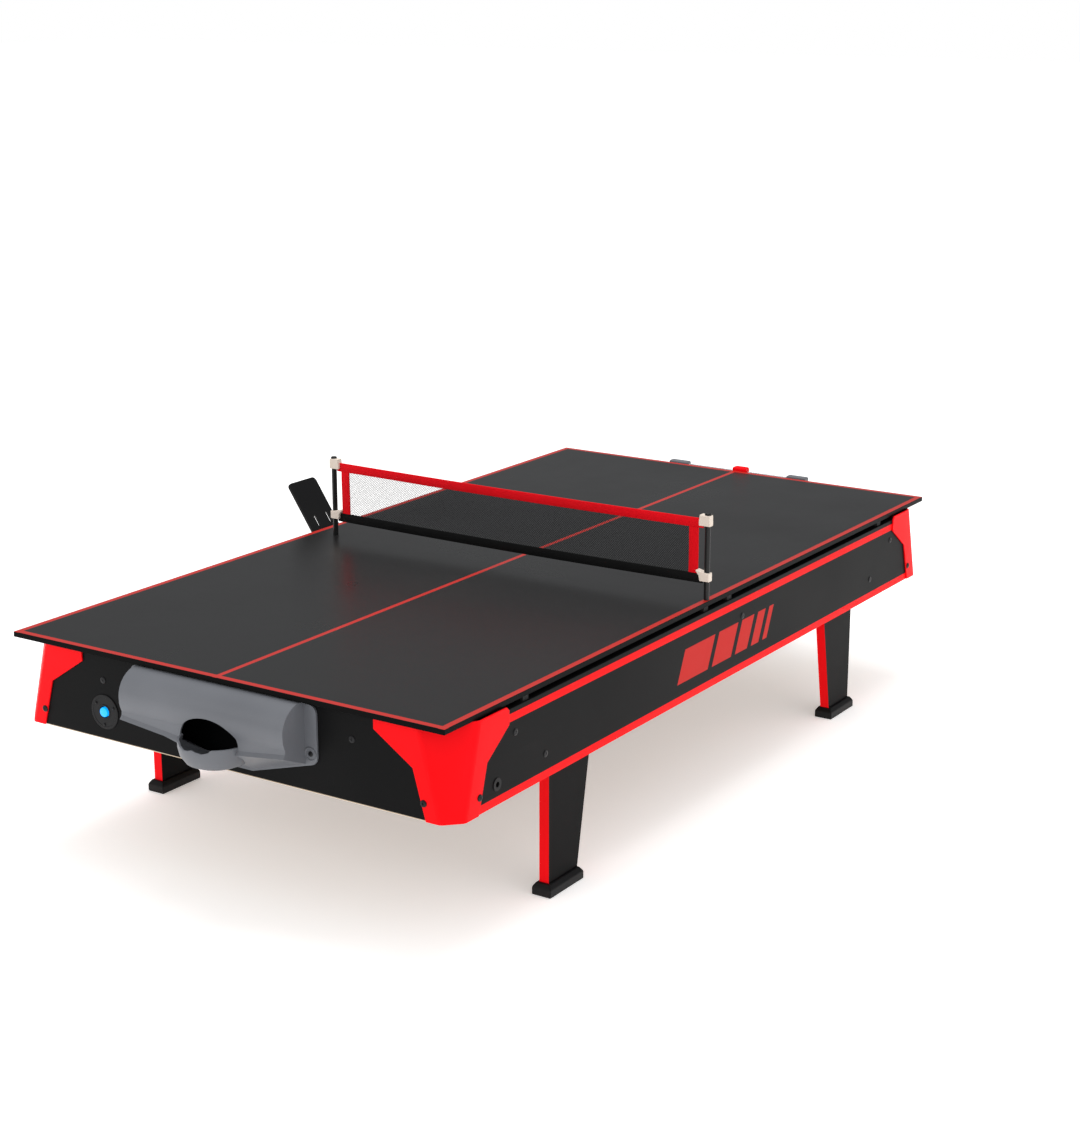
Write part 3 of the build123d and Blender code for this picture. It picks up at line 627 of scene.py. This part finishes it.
def shoe(node):
    """A shoe with sloping shoulders, closed on top round the leg."""
    low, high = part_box(node)
    bm = bmesh.new()
    levels = [(low.z, 0.0), (high.z - shoulder_drop, 0.0), (high.z, shoulder_run)]
    rings = []
    for height, inset in levels:
        xs, ys = (low.x + inset, high.x - inset), (low.y + inset, high.y - inset)
        rings.append([bm.verts.new((x, y, height)) for x, y in
                      ((xs[0], ys[0]), (xs[1], ys[0]), (xs[1], ys[1]), (xs[0], ys[1]))])
    for one, two in zip(rings, rings[1:]):
        for i in range(4):
            j = (i + 1) % 4
            bm.faces.new([one[i], one[j], two[j], two[i]])
    bm.faces.new(rings[0][::-1])
    bm.faces.new(rings[-1])
    piece = piece_from(node + "_shoe", bm, black_moulding, "cabinet", node)
    round_edges(piece, 0.0012, 4, 0.3)


for end_name in ("near", "far"):
    for side_name in ("right", "left"):
        paint(leg_laminate, f"leg_{end_name}_{side_name}")
        shoe(f"foot_{end_name}_{side_name}")


# Screws: blacked steel pan heads with a cross recess, driven through covers,
# flanges and walls. The fan's shaft and the score counter's rod are bright.
black_steel, _ = surface("black_steel", (0.012, 0.012, 0.013), (0.007, 0.007, 0.008), 0.36, 0.08,
                         1800.0, 0.2, Specular_IOR_Level=0.22)
bright_steel, _ = surface("bright_steel", (0.62, 0.62, 0.63), (0.52, 0.52, 0.54), 0.28, 0.06, 1800.0, 0.1,
                          Metallic=1.0)
paint(bright_steel, "blower_shaft", "score_rod", "plate_pin")


def solids_of(node):
    """The lowest and highest corner of each separate solid in a carried-over part."""
    bm = bmesh.new()
    bm.from_mesh(nodes[node].data)
    bmesh.ops.remove_doubles(bm, verts=bm.verts, dist=0.00001)
    unseen, found = set(bm.verts), []
    while unseen:
        stack, island = [unseen.pop()], []
        while stack:
            vert = stack.pop()
            island.append(vert.co.copy())
            for edge in vert.link_edges:
                other = edge.other_vert(vert)
                if other in unseen:
                    unseen.remove(other)
                    stack.append(other)
        found.append((Vector(map(min, *island)), Vector(map(max, *island))))
    bm.free()
    return sorted(found, key=lambda pair: tuple(pair[0]))


def screw_head():
    """A pan head of radius 1 and height 1, with a cross recess."""
    profile = [(0.0, 0.0), (1.0, 0.0), (1.0, 0.40), (0.93, 0.66), (0.74, 0.86), (0.42, 0.97), (0.0, 1.0)]
    head = turned_object("head", (0, 0, 0), (0, 0, 1), profile, 24)
    arm, half = 0.46, 0.11
    cross = [(arm, half), (half, half), (half, arm), (-half, arm), (-half, half), (-arm, half),
             (-arm, -half), (-half, -half), (-half, -arm), (half, -arm), (half, -half), (arm, -half)]
    recess = flat_solid(cross, lambda a, b, d: (a, b, d), 0.35, 1.6)
    combine(head, loose_object("cross", recess), "DIFFERENCE")
    shape = head.data
    bpy.data.objects.remove(head)
    return shape


def add_copy(bm, part):
    """Adds one finished shape to another, and frees it."""
    copy = bpy.data.meshes.new("copy")
    part.to_mesh(copy)
    part.free()
    bm.from_mesh(copy)
    bpy.data.meshes.remove(copy)


plain_head = screw_head()


def screws(node):
    """A cross-recess head in place of each plain one."""
    bm = bmesh.new()
    for number, (low, high) in enumerate(solids_of(node)):
        size = high - low
        thin = min(range(3), key=lambda i: size[i])
        middle = (low + high) / 2
        facing = Vector((0, 0, 0))
        outward = 1.0 if middle[thin] > 0 else -1.0
        if node == "leg_bolts":
            outward = -outward
        facing[thin] = outward
        seat = middle.copy()
        seat[thin] = low[thin] if outward > 0 else high[thin]
        radius = max(size) / 2
        turn = facing.to_track_quat("Z", "Y").to_matrix().to_4x4()
        spin = Matrix.Rotation(0.7 * number, 4, "Z")
        scale = Matrix.Diagonal((radius, radius, size[thin], 1.0))
        part = bmesh.new()
        part.from_mesh(plain_head)
        part.transform(Matrix.Translation(seat) @ turn @ spin @ scale)
        add_copy(bm, part)
    piece = piece_from(node + "_heads", bm, black_steel, "cabinet", node, crease=0.5)


for name in ("corner_cover_screws", "panel_screws", "goal_box_screws", "bezel_screws", "leg_bolts",
             "plate_bracket_screws"):
    screws(name)


# The tilting plate on the left wall: black moulded plastic with two slots,
# on an enamelled bracket, which holds its pin.
paint(black_moulding, "side_plate")
paint(black_steel, "plate_bracket")


# Score counter: a red slider on a bright rod, between two grey end blocks that
# are glued to the far catch box.
paint(red_moulding, "score_slider")
paint(grey_moulding, "score_end_blocks")


# The table tennis board: thin fibreboard faced with satin charcoal foil that
# has the red lines printed on it. Felt pads under it rest on the walls.
border_width = 0.0072
centre_line_width = 0.0060
edge_margin = 0.0005
board_foil, bench = surface("board_foil", (0.0165, 0.0163, 0.0164), (0.0130, 0.0128, 0.0130), 0.31, 0.05,
                            1400.0, 0.10, 0.45)
board_low, board_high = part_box("top_board")
board_y = (board_low.y + board_high.y) / 2
half_long = (board_high.x - board_low.x) / 2 - edge_margin
half_wide = (board_high.y - board_low.y) / 2 - edge_margin
_, axes = bench.place()
from_middle = bench.sum("ABSOLUTE", axes[0])
from_centre = bench.sum("ABSOLUTE", bench.sum("SUBTRACT", axes[1], board_y))
lines = bench.band(from_middle, half_long - border_width, half_long)
lines = bench.sum("MAXIMUM", lines, bench.band(from_centre, half_wide - border_width, half_wide))
lines = bench.sum("MAXIMUM", lines, bench.band(from_centre, -1.0, centre_line_width / 2))
top_face = bench.band(axes[2], board_high.z - 0.0002, 1.0, 0.0001)
bench.feed(bench.shader.inputs["Specular IOR Level"], bench.ramp(top_face, 0.0, 1.0, 0.03, 0.32))
colour = bench.mix(top_face, (0.0035, 0.0035, 0.0035, 1.0), bench.tone)
colour = bench.mix(bench.sum("MULTIPLY", lines, top_face), colour, (0.50, 0.020, 0.014, 1.0))
bench.feed(bench.shader.inputs["Base Color"], colour)
paint(board_foil, "top_board")

black_felt, _ = surface("black_felt", (0.03, 0.03, 0.03), (0.015, 0.015, 0.015), 0.95, 0.03, 2500.0, 0.9)
paint(black_felt, "rest_pads")


# The net's posts: black enamelled steel with a small cap, pushed into holes in
# the board. Cream plastic clips join the tapes to them.
post_enamel, _ = surface("post_enamel", (0.0105, 0.0105, 0.0105), (0.007, 0.007, 0.007), 0.3, 0.06,
                         1500.0, 0.1, Specular_IOR_Level=0.3)
paint(post_enamel, "net_post_right", "net_post_left", "net_post_caps")
cream_moulding, _ = surface("cream_moulding", (0.80, 0.70, 0.61), (0.72, 0.62, 0.53), 0.5, 0.06, 900.0, 0.3,
                            Specular_IOR_Level=0.3)
post_x = (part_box("net_post_right")[0].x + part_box("net_post_right")[1].x) / 2
clip_half = 0.0042
upper_clip = [(-0.0046, 0.0), (-0.0043, 0.0125), (0.0090, 0.0130), (0.0100, 0.0040), (0.0097, 0.0)]
lower_clip = [(-0.0045, 0.0), (-0.0045, 0.0100), (0.0040, 0.0108), (0.0126, 0.0130), (0.0130, 0.0112),
              (0.0092, 0.0066), (0.0078, 0.0)]


def clips(node, outline, foot):
    """A pair of clips, each one outline (inward, up) with softened edges."""
    bm = bmesh.new()
    for post, inward in (("net_post_right", 1), ("net_post_left", -1)):
        post_y = (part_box(post)[0].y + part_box(post)[1].y) / 2
        part = flat_solid(outline, lambda a, b, d: (post_x + d, post_y + inward * a, foot + b),
                          -clip_half, clip_half)
        add_copy(bm, part)
    piece = piece_from(node + "_moulded", bm, cream_moulding, "net", node)
    round_edges(piece, 0.0008, 3, 0.5)


clips("net_clips_upper", upper_clip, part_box("net_clips_upper")[0].z)
clips("net_clips_lower", lower_clip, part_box("net_clips_lower")[0].z)


# The net: a fine dark mesh, stretched between a red and a black woven tape,
# with red tapes sewn over its two ends. It hangs a little slack.
weave_group, bench, given, result = node_group("tape_weave", [("Threads", 1400.0)], ["Height"])
spot, axes = bench.place()
along = bench.sum("SINE", bench.sum("MULTIPLY", axes[1], given["Threads"]))
up = bench.sum("SINE", bench.sum("MULTIPLY", axes[2], given["Threads"]))
bench.feed(result["Height"], bench.sum("MULTIPLY", along, up))


def tape_material(name, light, dark):
    """Woven polyester tape with a plain weave."""
    material, bench = surface(name, light, dark, 0.8, 0.05, 1800.0, 0.4, Specular_IOR_Level=0.15)
    weave = bench.put("Group", node_tree=weave_group)
    weave.inputs["Threads"].default_value = 3600.0
    bump = bench.put("Bump")
    bump.inputs["Strength"].default_value = 0.6
    bump.inputs["Distance"].default_value = 0.0002
    bench.feed(bump.inputs["Height"], weave.outputs["Height"])
    bench.feed(bench.shader.inputs["Normal"], bump.outputs[0])
    return material


red_tape = tape_material("red_tape", (0.80, 0.001, 0.008), (0.70, 0.001, 0.006))
black_tape = tape_material("black_tape", (0.0070, 0.0070, 0.0070), (0.0045, 0.0045, 0.0045))
top_sag, bottom_sag, belly = 0.0014, 0.0018, 0.0006


def slack(y, z):
    """How far a point of the net sinks and bellies, from its place along it."""
    low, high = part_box("net_top_band")
    share = (y - low.y) / (high.y - low.y)
    hang = math.sin(math.pi * share)
    up_share = (z - 0.266) / (0.342 - 0.266)
    sink = hang * (bottom_sag + (top_sag - bottom_sag) * up_share)
    return belly * math.sin(share * 21.0 + 3.0 * up_share) * math.sin(math.pi * up_share), -sink


def add_tape(bm, low, high, thick, steps):
    """Adds a folded tape with rounded edges, along the net or up its end."""
    along_y = high.y - low.y > high.z - low.z
    rounding = [(-0.5, -0.42), (-0.30, -0.5), (0.30, -0.5), (0.5, -0.42),
                (0.5, 0.42), (0.30, 0.5), (-0.30, 0.5), (-0.5, 0.42)]
    wide = high.z - low.z if along_y else high.y - low.y
    middle = (low.z + high.z) / 2 if along_y else (low.y + high.y) / 2
    rings = []
    for step in range(steps + 1):
        share = step / steps
        ring = []
        for across, over in rounding:
            if along_y:
                y, z = low.y + share * (high.y - low.y), middle + over * wide
            else:
                y, z = middle + over * wide, low.z + share * (high.z - low.z)
            out, sink = slack(y, z)
            ring.append(bm.verts.new((post_x + across * thick + out, y, z + sink)))
        rings.append(ring)
    for one, two in zip(rings, rings[1:]):
        for i in range(8):
            j = (i + 1) % 8
            bm.faces.new([one[i], one[j], two[j], two[i]])
    bm.faces.new(rings[0])
    bm.faces.new(rings[-1][::-1])


def tape(name, boxes, material, node, thick, steps):
    """One piece of tape, or two alike, in place of a carried-over part."""
    bm = bmesh.new()
    for low, high in boxes:
        add_tape(bm, low, high, thick, steps)
    bmesh.ops.recalc_face_normals(bm, faces=bm.faces)
    piece = piece_from(name, bm, material, "net", node, crease=0.9)


tape("top_tape", [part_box("net_top_band")], red_tape, "net_top_band", 0.0019, 60)
tape("bottom_tape", [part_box("net_bottom_band")], black_tape, "net_bottom_band", 0.0019, 60)
tape("end_tapes", solids_of("net_side_bands"), red_tape, "net_side_bands", 0.0020, 16)

mesh_pitch, thread = 0.0024, 0.00046
net_fabric, bench = surface("net_fabric", (0.011, 0.011, 0.012), (0.007, 0.007, 0.008), 0.8, 0.05, 1800.0,
                            0.3, Specular_IOR_Level=0.05)
_, axes = bench.place()
holes = None
for direction in (1.0, -1.0):
    slope = bench.sum("ADD", axes[1], bench.sum("MULTIPLY", axes[2], direction * 0.8))
    turn = bench.sum("FRACT", bench.sum("DIVIDE", slope, mesh_pitch))
    open_part = bench.sum("GREATER_THAN", turn, thread / mesh_pitch * 1.3)
    holes = open_part if holes is None else bench.sum("MULTIPLY", holes, open_part)
bench.feed(bench.shader.inputs["Alpha"], bench.sum("SUBTRACT", 1.0, holes))

net_low, net_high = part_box("net_mesh")
tuck = 0.004
columns, rows = 120, 14
net_bottom, net_top = net_low.z - tuck, net_high.z + tuck
net_from, net_to = net_low.y - tuck, net_high.y + tuck
bm = bmesh.new()
lattice = []
for column in range(columns + 1):
    y = net_from + (net_to - net_from) * column / columns
    line = []
    for row in range(rows + 1):
        z = net_bottom + (net_top - net_bottom) * row / rows
        out, sink = slack(y, z)
        line.append(bm.verts.new((post_x + out, y, z + sink)))
    lattice.append(line)
for one, two in zip(lattice, lattice[1:]):
    for row in range(rows):
        bm.faces.new([one[row], one[row + 1], two[row + 1], two[row]])
net_sheet = piece_from("net_mesh_fabric", bm, net_fabric, "net", "net_mesh")
